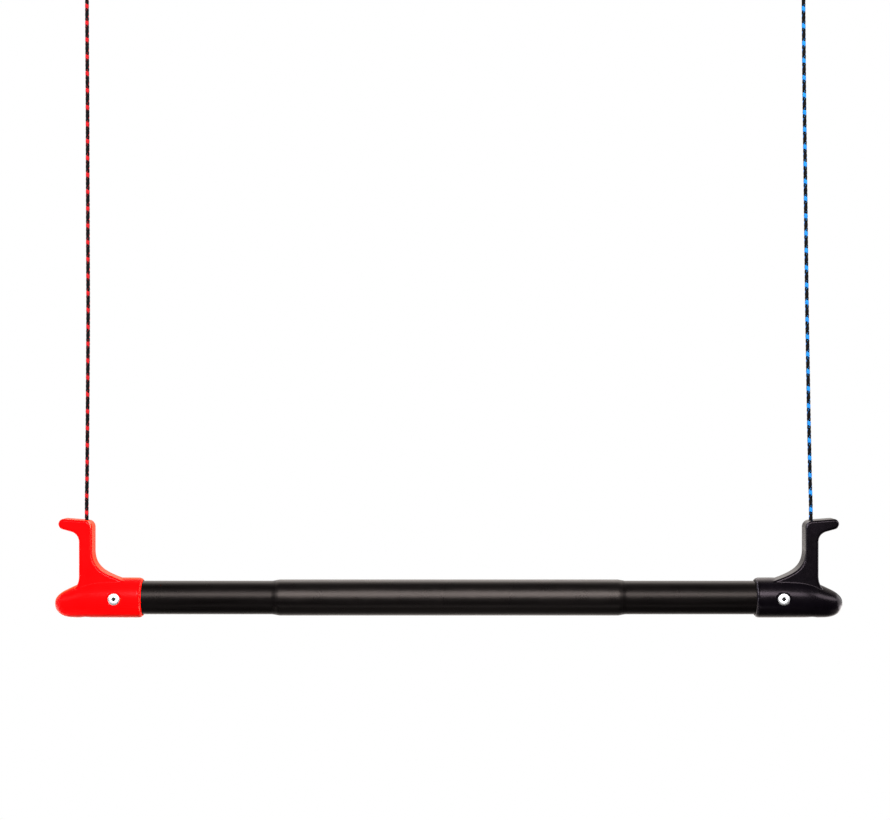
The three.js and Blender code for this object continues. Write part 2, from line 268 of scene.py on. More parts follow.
def new_material(name, **values):
    """A Principled material, its tree and its shader, with uniform values on the shader's own sockets."""
    material = bpy.data.materials.new(name)
    material.use_nodes = True
    shader = material.node_tree.nodes["Principled BSDF"]
    for key, value in values.items():
        shader.inputs[key.replace("_", " ")].default_value = value
    return material, material.node_tree, shader


def mapped(tree, stretch=(1, 1, 1), source="Object"):
    """Coordinates in the part's own metres, or its UVs, stretched."""
    place = tree.nodes.new("ShaderNodeTexCoord")
    mapping = tree.nodes.new("ShaderNodeMapping")
    mapping.inputs["Scale"].default_value = stretch
    tree.links.new(place.outputs[source], mapping.inputs["Vector"])
    return mapping.outputs["Vector"]


def noise(tree, scale, detail=4.0, roughness=0.5, stretch=(1, 1, 1), source="Object"):
    made = tree.nodes.new("ShaderNodeTexNoise")
    made.inputs["Scale"].default_value = scale
    made.inputs["Detail"].default_value = detail
    made.inputs["Roughness"].default_value = roughness
    tree.links.new(mapped(tree, stretch, source), made.inputs["Vector"])
    return made.outputs["Fac"]


def cells(tree, scale):
    made = tree.nodes.new("ShaderNodeTexVoronoi")
    made.inputs["Scale"].default_value = scale
    tree.links.new(mapped(tree), made.inputs["Vector"])
    return made.outputs["Distance"]


def tinted(tree, value, first, second):
    """A colour from first to second, by value; first is a colour or another colour's socket."""
    made = tree.nodes.new("ShaderNodeMix")
    made.data_type = "RGBA"
    # A Mix node's colour sockets go by number, because its names are shared by its other kinds.
    factor, colour_a, colour_b, result = made.inputs[0], made.inputs[6], made.inputs[7], made.outputs[2]
    if isinstance(first, tuple):
        colour_a.default_value = (*first, 1)
    else:
        tree.links.new(first, colour_a)
    colour_b.default_value = (*second, 1)
    tree.links.new(value, factor)
    return result


def add_bump(tree, shader, layers):
    """Chained bumps, each a height socket with its depth in metres and its strength."""
    normal = None
    for height, distance, strength in layers:
        bump = tree.nodes.new("ShaderNodeBump")
        bump.inputs["Distance"].default_value = distance
        bump.inputs["Strength"].default_value = strength
        tree.links.new(height, bump.inputs["Height"])
        if normal is not None:
            tree.links.new(normal, bump.inputs["Normal"])
        normal = bump.outputs["Normal"]
    tree.links.new(normal, shader.inputs["Normal"])


def distance_from_middle(tree, axis):
    """Distance from the bar's middle plane across the named axis, in metres."""
    return magnitude(tree, axes(tree, mapped(tree))[axis])


def parting_line(tree):
    """The faint ridge where the two mould halves met, along the part's middle plane."""
    crest, foot = 0.0001, 0.0003
    return smooth_step(tree, distance_from_middle(tree, "Y"), crest, foot, 1.0, 0.0)


def painted_edge_highlight(tree, edge, side):
    """Mask of a painted highlight: 1 along the cap's sharp edges that lean towards the bar's middle, at its
    mouth and up its stem.
    """
    mouth_end, mouth_clear = MOUTH_X + 0.0046, MOUTH_X + 0.0076
    stem_foot, stem_clear = CAP_RADIUS + 0.00025, CAP_RADIUS + 0.00325
    place = tree.nodes.new("ShaderNodeTexCoord")
    lean = axes(tree, place.outputs["Normal"])["X"]
    # The leans between which an edge takes the painted highlight, from its beginning to its end.
    begins, full, fading, ends = (-amount * side for amount in (0.35, 0.50, 0.66, 0.82))
    leaning = product(tree, smooth_step(tree, lean, begins, full, 0.0, 1.0),
                      smooth_step(tree, lean, fading, ends, 1.0, 0.0))
    at_mouth = smooth_step(tree, distance_from_middle(tree, "X"), mouth_end, mouth_clear, 1.0, 0.0)
    up_stem = smooth_step(tree, axes(tree, place.outputs["Object"])["Z"], stem_foot, stem_clear, 0.0, 1.0)
    sharp = smooth_step(tree, edge, 0.5, 0.75, 0.0, 1.0)
    return product(tree, sharp, leaning, total(tree, at_mouth, up_stem))


def moulded_plastic(name, side, deep, light, rim, edge_highlight, low_gloss, high_gloss, specular):
    """Glossy moulding: orange peel, fine grain, a parting line and polished edges, with a painted highlight
    along the inner edges and a painted reflection at the glancing rim.
    """
    material, tree, shader = new_material(name, IOR=1.49, Specular_IOR_Level=specular,
                                          Specular_Tint=(1, 0.82, 0.95, 1))
    cloud = ranged(tree, noise(tree, 60, 3), 0, 1)
    # Painted reflection: the base colour turns to the rim colour where the surface is seen at a glancing
    # angle.
    glancing = tree.nodes.new("ShaderNodeLayerWeight")
    reflection_begins, reflection_full = 0.48, 0.76
    at_glancing_reflection = smooth_step(tree, glancing.outputs["Facing"], reflection_begins, reflection_full, 0.0, 1.0)
    edge = tree.nodes.new("ShaderNodeAttribute")
    edge.attribute_name = "edge"
    body = tinted(tree, at_glancing_reflection, tinted(tree, cloud, deep, light), rim)
    # Painted highlight: the sharp inner edges turn to a paler colour, standing in for a reflection.
    colour = tinted(tree, painted_edge_highlight(tree, edge.outputs["Fac"], side), body, edge_highlight)
    tree.links.new(colour, shader.inputs["Base Color"])
    haze = ranged(tree, noise(tree, 260, 6, 0.65), low_gloss, high_gloss)
    polish = ranged(tree, edge.outputs["Fac"], 1.0, 0.5, start=0.0, stop=1.0)
    tree.links.new(product(tree, haze, polish), shader.inputs["Roughness"])
    orange_peel, fine_grain = noise(tree, 200, 2), noise(tree, 2600, 3)
    add_bump(tree, shader, [
        (orange_peel, 0.00006, 0.12),
        (fine_grain, 0.00001, 0.25),
        (parting_line(tree), 0.00006, 0.5),
    ])
    return material


def satin_skin(name, specular):
    """Satin skin with a fine pebble grain and faint streaks along it."""
    material, tree, shader = new_material(name, IOR=1.5, Specular_IOR_Level=specular,
                                          Specular_Tint=(1, 0.85, 0.80, 1))
    streak = ranged(tree, noise(tree, 500, 4, 0.6, stretch=(0.06, 1, 1)), 0, 1)
    tree.links.new(tinted(tree, streak, (0.0010, 0.0008, 0.0008), (0.0022, 0.0018, 0.0018)),
                   shader.inputs["Base Color"])
    tree.links.new(ranged(tree, noise(tree, 90, 5, 0.6), 0.26, 0.32), shader.inputs["Roughness"])
    pebbles, waves = cells(tree, 2400), noise(tree, 700, 4)
    add_bump(tree, shader, [(pebbles, 0.00003, 0.15), (waves, 0.00004, 0.12)])
    return material


def closed_cell_foam():
    """Dark foam with open pores at its cut faces, painted darker down in each pore as shade."""
    material, tree, shader = new_material("closed_cell_foam", Roughness=0.95)
    pores = cells(tree, 1800)
    # Painted shade: the colour is darker down in each pore, where the bump sinks.
    pore_painted_shade = ranged(tree, pores, 0, 1, start=0, stop=0.8)
    tree.links.new(tinted(tree, pore_painted_shade, (0.03, 0.03, 0.034), (0.07, 0.07, 0.075)),
                   shader.inputs["Base Color"])
    add_bump(tree, shader, [(pores, 0.0002, 0.6)])
    return material


def metal(name, dull, bright, smooth, rough, stretch=(1, 1, 1)):
    """Bare metal: drawn or turned streaks in its colour, gloss and surface."""
    material, tree, shader = new_material(name, Metallic=1.0)
    grain, scratches = noise(tree, 900, 5, 0.6, stretch), noise(tree, 3000, 2)
    tree.links.new(tinted(tree, ranged(tree, grain, 0, 1), dull, bright), shader.inputs["Base Color"])
    tree.links.new(ranged(tree, grain, rough, smooth), shader.inputs["Roughness"])
    add_bump(tree, shader, [(grain, 0.00001, 0.15), (scratches, 0.000005, 0.1)])
    return material


def braided_yarn(name, dark, bright):
    """Yarn of one strand: fine filaments along it, from its UVs."""
    material, tree, shader = new_material(name, Roughness=0.75, Specular_IOR_Level=0.04)
    round_strand, along_strand = 26, 0.9
    filaments = noise(tree, 1.0, 3.0, stretch=(round_strand, along_strand, 1), source="UV")
    tree.links.new(tinted(tree, ranged(tree, filaments, 0, 1), dark, bright), shader.inputs["Base Color"])
    add_bump(tree, shader, [(filaments, 0.00005, 0.5)])
    return material


# ---------------------------------------------------------------- mesh making


def mesh_object(name, points, faces, materials, face_material=None, uvs=None):
    """A smooth mesh piece from points in metres, with each face's material and each point's UVs."""
    mesh = bpy.data.meshes.new(name)
    mesh.from_pydata(np.asarray(points).tolist(), [], [tuple(face) for face in faces])
    for material in materials:
        mesh.materials.append(material)
    if face_material is not None:
        mesh.polygons.foreach_set("material_index", np.asarray(face_material, np.int32))
    mesh.polygons.foreach_set("use_smooth", np.ones(len(mesh.polygons), bool))
    if uvs is not None:
        layer = mesh.uv_layers.new(name="strand")
        corners = np.zeros(len(mesh.loops), np.int32)
        mesh.loops.foreach_get("vertex_index", corners)
        layer.data.foreach_set("uv", np.asarray(uvs)[corners].astype(np.float32).ravel())
    piece = bpy.data.objects.new(name, mesh)
    bpy.context.scene.collection.objects.link(piece)
    return piece


def merge_points(piece, reach=1e-7):
    """Joins a revolved piece's points where its ends meet the axis."""
    shape = bmesh.new()
    shape.from_mesh(piece.data)
    bmesh.ops.remove_doubles(shape, verts=shape.verts, dist=reach)
    shape.to_mesh(piece.data)
    shape.free()


def revolved(rows, sides, closed):
    """Points and quads of a solid of revolution about X, from [x, radius] rows; closed joins the ends."""
    rows = np.asarray(rows, float)
    angle = 2 * np.pi * np.arange(sides) / sides
    x = np.repeat(rows[:, :1], sides, 1)
    points = np.stack([x, rows[:, 1:] * np.cos(angle), rows[:, 1:] * np.sin(angle)], -1)
    faces = []
    for i in range(len(rows) if closed else len(rows) - 1):
        a, b = i * sides, ((i + 1) % len(rows)) * sides
        for k in range(sides):
            n = (k + 1) % sides
            faces.append((a + k, b + k, b + n, a + n))
    return points.reshape(-1, 3), faces


def bezier(points, count):
    """count points on a Bezier curve, its first point left out."""
    made = []
    for t in np.linspace(0, 1, count + 1)[1:]:
        row = [np.array(p, float) for p in points]
        while len(row) > 1:
            row = [(1 - t) * a + t * b for a, b in zip(row, row[1:])]
        made.append(row[0])
    return made


def arc(centre, radius, start, stop, count):
    """count points round an arc, its angles in degrees."""
    angles = np.radians(np.linspace(start, stop, count))
    return [np.array(centre) + radius * np.array([math.cos(a), math.sin(a)]) for a in angles]


def spline(points, steps):
    """Points on the smooth curve through the given ones, steps to each span."""
    points = np.asarray(points, float)
    padded = np.vstack([2 * points[0] - points[1], points, 2 * points[-1] - points[-2]])
    made = []
    for a, b, c, d in zip(padded, padded[1:], padded[2:], padded[3:]):
        for t in np.arange(steps) / steps:
            made.append(0.5 * (2 * b + (c - a) * t + (2 * a - 5 * b + 4 * c - d) * t * t
                               + (3 * b - a - 3 * c + d) * t ** 3))
    return np.array([*made, points[-1]])


# ---------------------------------------------------------------- the winder caps, as a smooth solid
#
# All in mm, from the tube's axis, for the right-hand cap.


def plate_outline():
    """Side outline of the upright plate: stem, hook, and the sweep down to the sleeve."""
    hook_slope, underside_slope = 5, 17
    tip, tip_radius = (245.25, 47.3), 3.35
    shoulder, shoulder_radius = (231.6, 45.1), 4.5
    inner, outer = shoulder[0] - shoulder_radius, 235.5
    sleeve, foot, heel = 203.0, -2.0, (238.2, 6.6)
    outline = [np.array(p, float) for p in ((sleeve, foot), (236, foot), heel)]
    outline += bezier([heel, (235.7, 9.0), (outer, 13.5)], count=10)
    outline += [np.array([outer, 36.0])]
    outline += bezier([(outer, 36.0), (236.0, 41.6), (241.3, 42.7)], count=12)
    outline += arc(tip, tip_radius, underside_slope - 90, hook_slope + 90, count=14)
    outline += arc(shoulder, shoulder_radius, hook_slope + 90, 180, count=10)
    outline += [np.array([inner, 30.0])]
    outline += bezier([(inner, 30.0), (226.8, 18.5), (219.5, 15.6), (sleeve, 9.9)], count=24)
    return np.array(outline)


def body_sections():
    """Stations of the rounded body: x, and its upper and lower outlines."""
    full = CAP_RADIUS / MM
    return spline([
        [198, full, -full], [208, full, -full], [224, 12.1, -12.7], [232, 10.5, -12.7],
        [238, 8.1, -12.7], [243, 5.8, -12.4], [247, 3.7, -11.2], [249.6, 1.6, -9.2],
        [251.2, -0.6, -7.0], [251.8, -3.5, -3.5],
    ], steps=8)


def outline_distance(u, v, outline):
    """Signed distance from points (u, v) to a closed outline, negative inside."""
    nearest = np.full(u.shape, np.inf)
    inside = np.zeros(u.shape, bool)
    for (au, av), (bu, bv) in zip(outline, np.roll(outline, -1, axis=0)):
        eu, ev = bu - au, bv - av
        length = eu * eu + ev * ev
        if length == 0:
            continue
        wu, wv = u - au, v - av
        t = np.clip((wu * eu + wv * ev) / length, 0, 1)
        nearest = np.minimum(nearest, (wu - t * eu) ** 2 + (wv - t * ev) ** 2)
        if ev:
            inside ^= ((av > v) != (bv > v)) & (wu < eu * wv / ev)
    return np.where(inside, -1, 1) * np.sqrt(nearest)


def soft_union(a, b, fillet):
    """The nearer of two distances, the corner between their surfaces filled."""
    near = np.maximum(fillet - np.abs(a - b), 0) / fillet
    return np.minimum(a, b) - near * near * fillet / 4


def soft_cut(a, b, fillet):
    """a with b taken away, the edge between them rounded."""
    return -soft_union(-a, b, fillet)


def rod(along, across, other, radius, start, stop):
    """Distance to a rod that runs along one axis from start to stop."""
    side = np.hypot(across, other) - radius
    end = np.maximum(start - along, along - stop)
    return np.maximum(side, end)


class CapShape:
    """Distance from points to the surface of the right-hand cap."""

    half_plate, plate_rounding, plate_fillet = 7.5, 1.7, 0.4
    socket_radius, socket_end, socket_fillet = 11.0, 225.4, 0.4
    bore_radius, bore_fillet = 1.5, 1.1
    recess_radius, recess_top, recess_fillet = 3.4, -4.6, 0.6
    rivet_hole_radius, rivet_hole_fillet = 2.15, 0.2
    seat_radius, seat_y, seat_fillet = 4.5, 11.9, 0.35
    # The mouth's rounded rim: distance in from the mouth, and radius there.
    mouth_rim = [(0, 11.3), (0.35, 11.75), (0.9, 12.25), (2.0, 12.7)]
    # Past every face of the cap.
    clear = 60

    def __init__(self):
        self.plate = plate_outline()
        sections = body_sections()
        self.station = sections[:, 0]
        self.middle = (sections[:, 1] + sections[:, 2]) / 2
        mouth = MOUTH_X / MM
        rim = [(mouth, 0)] + [(mouth + inwards, radius) for inwards, radius in self.mouth_rim]
        radius = np.maximum((sections[:, 1] - sections[:, 2]) / 2, 0)
        upper = np.vstack([rim, np.stack([self.station, radius], 1)])
        self.body = np.vstack([upper, upper[::-1] * [1, -1]])

    def solid(self, x, y, z):
        """Plate and body together."""
        flat = outline_distance(x, z, self.plate) + self.plate_rounding
        deep = np.abs(y) - self.half_plate + self.plate_rounding
        plate = (np.hypot(np.maximum(flat, 0), np.maximum(deep, 0))
                 + np.minimum(np.maximum(flat, deep), 0) - self.plate_rounding)
        middle = np.interp(x, self.station, self.middle)
        body = outline_distance(x, np.hypot(y, z - middle), self.body)
        return soft_union(plate, body, self.plate_fillet)

    def __call__(self, x, y, z):
        line, rivet = x - LINE_X / MM, x - RIVET_X / MM
        clear = self.clear
        cuts = [
            (rod(x, y, z, self.socket_radius, 0, self.socket_end), self.socket_fillet),
            (rod(z, line, y, self.bore_radius, -clear, clear), self.bore_fillet),
            (rod(z, line, y, self.recess_radius, -clear, self.recess_top), self.recess_fillet),
            (rod(y, rivet, z, self.rivet_hole_radius, -clear, clear), self.rivet_hole_fillet),
        ]
        for front in FACES.values():
            seat = rod(front * y, rivet, z, self.seat_radius, self.seat_y, clear)
            cuts.append((seat, self.seat_fillet))
        value = self.solid(x, y, z)
        for cut, fillet in cuts:
            value = soft_cut(value, cut, fillet)
        return value


def net_surface(field, low, high, step):
    """Points and quads on the zero level of field: surface nets on an even grid, then settled onto it."""
    grid = [np.arange(a, b + step, step) for a, b in zip(low, high)]
    value = field(*np.meshgrid(*grid, indexing="ij"))
    inside = value < 0
    corners = [(a, b, c) for a in (0, 1) for b in (0, 1) for c in (0, 1)]
    shape = [n - 1 for n in value.shape]
    count = np.zeros(shape, int)
    for corner in corners:
        count += inside[tuple(slice(o, o + n) for o, n in zip(corner, shape))]
    crossed = np.argwhere((count > 0) & (count < 8))
    index = np.full(shape, -1)
    index[tuple(crossed.T)] = np.arange(len(crossed))
    units = np.eye(3, dtype=int)
    crossings, hits = np.zeros((len(crossed), 3)), np.zeros(len(crossed))
    for corner in corners:
        for unit in units:
            if unit @ corner:
                continue
            a, b = crossed + corner, crossed + corner + unit
            first, second = value[tuple(a.T)], value[tuple(b.T)]
            cut = (first < 0) != (second < 0)
            t = np.where(cut, first / np.where(cut, first - second, 1), 0)
            crossings += cut[:, None] * (a + t[:, None] * unit)
            hits += cut
    points = np.array(low) + step * crossings / hits[:, None]
    faces = []
    for axis, unit in enumerate(units):
        u, v = units[(axis + 1) % 3], units[(axis + 2) % 3]
        first = inside[tuple(slice(0, n - k) for n, k in zip(inside.shape, unit))]
        second = inside[tuple(slice(k, n) for n, k in zip(inside.shape, unit))]
        edges = np.argwhere(first != second)
        quads = np.stack([index[tuple((edges + offset).T)] for offset in (-u - v, -v, 0 * u, -u)], 1)
        entering = ~inside[tuple(edges.T)]
        quads[entering] = quads[entering][:, ::-1]
        faces.append(quads)
    passes, least_slope = 4, 0.25
    for _ in range(passes):
        away, slope = field_slope(field, points)
        move = away / np.maximum((slope ** 2).sum(1), least_slope)
        points = points - np.clip(move, -step / 2, step / 2)[:, None] * slope
    return points, np.concatenate(faces)


def field_slope(field, points, nudge=0.01):
    """The field and its slope at some points."""
    value = field(*points.T)
    return value, np.stack([(field(*(points + nudge * unit).T) - value) / nudge for unit in np.eye(3)], 1)


def edge_sharpness(points, faces):
    """0 on flats to 1 on tight outer edges, from how far each point stands out from its neighbours."""
    tight = 0.03
    links = np.concatenate([faces[:, [0, 1]], faces[:, [1, 2]], faces[:, [2, 3]], faces[:, [3, 0]]])
    neighbours, count = np.zeros_like(points), np.zeros(len(points))
    for a, b in ((0, 1), (1, 0)):
        np.add.at(neighbours, links[:, a], points[links[:, b]])
        np.add.at(count, links[:, a], 1)
    bend = points - neighbours / count[:, None]
    across = np.cross(points[faces[:, 2]] - points[faces[:, 0]], points[faces[:, 3]] - points[faces[:, 1]])
    normal = np.zeros_like(points)
    for corner in range(4):
        np.add.at(normal, faces[:, corner], across)
    normal /= np.linalg.norm(normal, axis=1)[:, None]
    return np.clip((bend * normal).sum(1) / tight, 0, 1)


def make_caps(materials):
    """Both caps from one surface: the left one is its mirror image."""
    step = 0.4
    room = 1.5
    low = [MOUTH_X / MM - room, -CAP_RADIUS / MM - room, -CAP_RADIUS / MM - room]
    high = [NOSE_X / MM + room, CAP_RADIUS / MM + room, CAP_HIGH.z / MM + room]
    points, faces = net_surface(CapShape(), low, high, step)
    edge = edge_sharpness(points, faces)
    for name, side in SIDES.items():
        turned = faces if side > 0 else faces[:, ::-1]
        cap = mesh_object(f"winder_cap_{name}", points * MM * [side, 1, 1], turned, [materials[name]])
        sharpness = cap.data.attributes.new("edge", "FLOAT", "POINT")
        sharpness.data.foreach_set("value", edge.astype(np.float32))
        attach(cap, "bar")
        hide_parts(f"end_cap_{name}")


# ---------------------------------------------------------------- the skin


def make_skin(over_pad, over_tube):
    """One skin over tube and pad: narrow ends, a smooth step, and the padded middle, stretched glossier."""
    grip_half, step_length, wall, narrow_radius = 0.1105, 0.006, 0.0009, 0.0107
    long_rings, step_rings, sides = 50, 24, 96
    step_start = grip_half - step_length / 2
    beyond = 0.001
    stations = [*np.linspace(0, step_start - beyond, long_rings),
                *np.linspace(step_start, step_start + step_length, step_rings),
                *np.linspace(step_start + step_length + beyond, COVER_HIGH.x, long_rings)]
    xs = np.array([*[-x for x in stations[:0:-1]], *stations])
    t = np.clip((np.abs(xs) - step_start) / step_length, 0, 1)
    outer = GRIP_RADIUS + (narrow_radius - GRIP_RADIUS) * t * t * (3 - 2 * t)
    rows = [*zip(xs, outer), *zip(xs[::-1], outer[::-1] - wall)]
    points, faces = revolved(rows, sides, closed=True)
    beyond_pad = np.repeat([abs(x) > grip_half for x, _ in rows], sides)
    skin = mesh_object("satin_skin", points, [face[::-1] for face in faces], [over_pad, over_tube],
                       beyond_pad)
    drill_skin(skin)
    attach(skin, "bar")
    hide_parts("tube_cover")


def drill_skin(skin):
    """The four rivet holes through the skin."""
    hole_radius, reach, sides = CapShape.rivet_hole_radius * MM, 0.02, 32
    rows = [[-reach, 0], [-reach, hole_radius], [reach, hole_radius], [reach, 0]]
    for side in SIDES.values():
        points, faces = revolved(rows, sides, closed=False)
        x, y, z = points.T
        drill = mesh_object("drill", np.stack([y + side * RIVET_X, x, z], 1), faces, [])
        merge_points(drill)
        cut = skin.modifiers.new("holes", "BOOLEAN")
        cut.operation = "DIFFERENCE"
        cut.object = drill
        with bpy.context.temp_override(object=skin, active_object=skin):
            bpy.ops.object.modifier_apply(modifier=cut.name)
        bpy.data.objects.remove(drill)


# ---------------------------------------------------------------- rivets


def set_in_cap(name, rows, closed, node, materials, face_material=None):
    """A turned piece on a rivet's axis, rows as [distance from the bar's axis, radius] in mm."""
    sides = 64
    for side_name, side in SIDES.items():
        for face_name, front in FACES.items():
            points, faces = revolved(rows, sides, closed)
            x, y, z = points.T
            placed = np.stack([y * front + side * RIVET_X / MM, x * front, z], 1) * MM
            kinds = None if face_material is None else np.repeat(face_material, sides)
            piece = mesh_object(f"{name}_{side_name}_{face_name}", placed, [f[::-1] for f in faces],
                                materials, kinds)
            merge_points(piece)
            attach(piece, "bar")
            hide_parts(f"{node}_{side_name}_{face_name}")


def make_rivets(alloy, dark, steel):
    """Blind rivets with their snapped mandrels, all in mm from the bar's axis outwards."""
    shank, bore, base, rounded_off = 2.0, 1.1, 12.1, 0.2
    head = RIVET_HEAD_RADIUS / MM - rounded_off
    tail = [[4.9, bore], [4.9, 1.9], [5.2, 2.35], [5.7, 2.7], [6.7, 2.7], [7.1, 2.4], [7.4, shank]]
    dome = [(0, 0.12), (0.05, 0.03), (0.15, 0.0), (0.38, 0.02), (0.62, 0.16), (0.84, 0.40), (0.98, 0.70),
            (1.06, 1.05), (1.1, 1.6)]
    lip = [(1.1, 0.4), (1.08, 0.15), (0.98, 0.02), (0.8, 0)]
    rows = [*tail, [base, shank]]
    rows += [[base + rise, head - inwards] for rise, inwards in dome]
    rows += [[base + rise, bore + outwards] for rise, outwards in lip]
    # The last rows, down into the rivet's bore, take a near-black material: painted shade in the hole.
    bore_rows = 2
    kinds = [0] * (len(rows) - bore_rows) + [1] * bore_rows
    set_in_cap("blind_rivet", rows, True, "rivet", [alloy, dark], kinds)

    # The mandrel's near-black steel is painted shade down the rivet's bore.
    pin, ball, broken = 0.9, 1.6, MANDREL_LOW.y / -MM
    ball_rows = [[3.2, 0], [3.2, ball - 0.4], [3.5, ball], [4.4, ball], [4.7, ball - 0.3], [4.8, pin]]
    snapped_rows = [[broken - 0.5, pin], [broken - 0.25, pin - 0.12], [broken - 0.1, pin - 0.3],
                    [broken - 0.2, 0.3], [broken, 0]]
    set_in_cap("snapped_mandrel", ball_rows + snapped_rows, False, "mandrel", [steel])


# ---------------------------------------------------------------- the leader lines

# The free runs' points, as the CAD has them: sideways place and height, mm.
ROUTES = {
    "left": [
        (-231.7, 58.1), (-231.65, 66), (-231.5, 76), (-231.35, 92), (-231.2, 112), (-231.05, 134),
        (-230.9, 158), (-230.8, 182), (-230.85, 206), (-230.95, 230), (-231.0, 254), (-231.1, 278),
        (-231.15, 302), (-231.25, 326), (-231.4, 350), (-231.5, 372), (-231.55, 391),
    ],
    "right": [
        (231.7, 58.1), (231.5, 66), (231.2, 76), (230.9, 92), (230.5, 112), (230.1, 134),
        (229.7, 158), (229.3, 182), (229.0, 206), (228.7, 230), (228.4, 254), (228.1, 278),
        (227.8, 302), (227.5, 326), (227.3, 350), (227.1, 372), (227.0, 391),
    ],
}
# One turn of a strand, and the height of a coloured fleck that faces the camera, mm.
PITCH = {"left": 10.8, "right": 11.05}
FLECK_Z = {"left": 54.4, "right": 56.3}


def even_path(points, step):
    """Points about step apart on the smooth curve through the given ones, and their distance along it."""
    fine = spline(points, steps=24)
    along = np.concatenate([[0], np.cumsum(np.linalg.norm(np.diff(fine, axis=0), axis=1))])
    at = np.linspace(0, along[-1], max(2, round(along[-1] / step)) + 1)
    return np.stack([np.interp(at, along, fine[:, k]) for k in range(3)], 1), at


def carried_frames(path, first):
    """Two cross directions at each point, carried along the path without twist."""
    tangent = np.gradient(path, axis=0)
    tangent /= np.linalg.norm(tangent, axis=1)[:, None]
    side, across = np.array(first, float), []
    for t in tangent:
        side = side - t * (side @ t)
        side /= np.linalg.norm(side)
        across.append(side)
    across = np.array(across)
    return across, np.cross(tangent, across)


def braid(path, turns, radius):
    """Points, faces, strand of each face, and UVs of a round plait of four strands.

    turns is how many turns a strand has made at each point of the path. Two strands wind each way. One pair
    lies on top at the front and back, the other at the two sides, and each dwells where it is on top.
    """
    across, other = carried_frames(path, (0, -1, 0))
    segments, dwell = 12, 0.22
    # A strand's size and place as shares of the line's radius, each with its change towards the top.
    half_thick, thick_change = 0.46, 0.02
    half_wide, wide_change = 0.98, 0.03
    out_to, out_change = 0.44, 0.13
    curl = 0.32
    section = 2 * np.pi * np.arange(segments) / segments
    phi = 2 * np.pi * np.asarray(turns)
    points, faces, strands, uvs = [], [], [], []
    for strand in range(4):
        way = 1 if strand < 2 else -1
        angle = way * phi + np.pi * (strand % 2) - dwell * np.sin(2 * phi)
        top = way * np.cos(2 * phi)
        thick = radius * (half_thick + thick_change * top)
        wide = radius * (half_wide + wide_change * top)
        centre = radius * (out_to + out_change * top)
        out = np.cos(angle)[:, None] * across + np.sin(angle)[:, None] * other
        sideways = -np.sin(angle)[:, None] * across + np.cos(angle)[:, None] * other
        reach = wide[:, None] * np.cos(section)
        rise = centre[:, None] + thick[:, None] * np.sin(section) - curl * reach ** 2 / radius
        ring = path[:, None] + rise[..., None] * out[:, None] + reach[..., None] * sideways[:, None]
        start = sum(len(p) for p in points)
        points.append(ring.reshape(-1, 3))
        u = np.repeat(np.arange(segments)[None] / segments, len(path), 0)
        v = np.repeat(phi[:, None], segments, 1)
        uvs.append(np.stack([u, v], -1).reshape(-1, 2))
        rows = np.arange(len(path) - 1)[:, None] * segments + start
        k = np.arange(segments)[None]
        n = (k + 1) % segments
        quads = np.stack([rows + k, rows + n, rows + segments + n, rows + segments + k], -1)
        last = start + (len(path) - 1) * segments
        ends = [start + np.arange(segments)[::-1], last + np.arange(segments)]
        faces += quads.reshape(-1, 4).tolist() + [end.tolist() for end in ends]
        strands += [strand] * ((len(path) - 1) * segments + 2)
    return np.concatenate(points), faces, np.array(strands), np.concatenate(uvs)


def line_piece(name, side_name, stretches, yarns, step=0.4):
    """One piece of braided stretches, each (points in mm, radius in mm), and its last stretch's path."""
    coloured_strand = 0
    points, faces, colours, uvs = [], [], [], []
    for route, radius in stretches:
        path, along = even_path(route, step)
        turns = (path[0][2] + along - FLECK_Z[side_name]) / PITCH[side_name]
        made, quads, strands, places = braid(path, turns, radius)
        start = sum(len(p) for p in points)
        points.append(made)
        faces += [[start + corner for corner in face] for face in quads]
        colours.append(strands == coloured_strand)
        uvs.append(places)
    piece = mesh_object(name, np.concatenate(points) * MM, faces, yarns, np.concatenate(colours),
                        np.concatenate(uvs))
    return piece, path * MM


def wraps(centre_x, bottom, top, turns, radius, inner):
    """Points of a cord that comes out of a knot's middle, wraps round it and goes back in."""
    made = []
    points_to_turn, tuck_share = 10, 0.2
    count = round(turns * points_to_turn)
    for i in range(count + 1):
        t = i / count
        tuck = min(1, t / tuck_share, (1 - t) / tuck_share)
        rho = inner + (radius - inner) * tuck
        angle = 2 * math.pi * turns * t
        made.append((centre_x + rho * math.cos(angle), rho * math.sin(angle), bottom + (top - bottom) * t))
    return made


def make_stopper_knot(name, x, yarns):
    """A barrel knot in the recess under the cap: the line down its middle, three wraps and a short tail."""
    low, high = STOPPER_LOW.z / MM, STOPPER_HIGH.z / MM
    wrap_radius, cord_radius = 0.9, 0.95
    out = STOPPER_HIGH.y / MM - wrap_radius
    middle = [(x, 0, high + 0.6), (x, 0, (low + high) / 2), (x, 0, low + 1.2)]
    tail = [(x + 0.2, 0.1, low + 2.5), (x + 0.4, 0.3, low + 1.0), (x + 0.9, 0.5, low - 0.6)]
    round_it = wraps(x, low + wrap_radius, high - wrap_radius, turns=2.75, radius=out, inner=0.9)
    stretches = [(middle, cord_radius), (tail, cord_radius), (round_it, wrap_radius)]
    knot, _ = line_piece(f"stopper_wraps_{name}", name, stretches, yarns, step=0.3)
    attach(knot, "bar")
    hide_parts(f"stopper_knot_{name}")


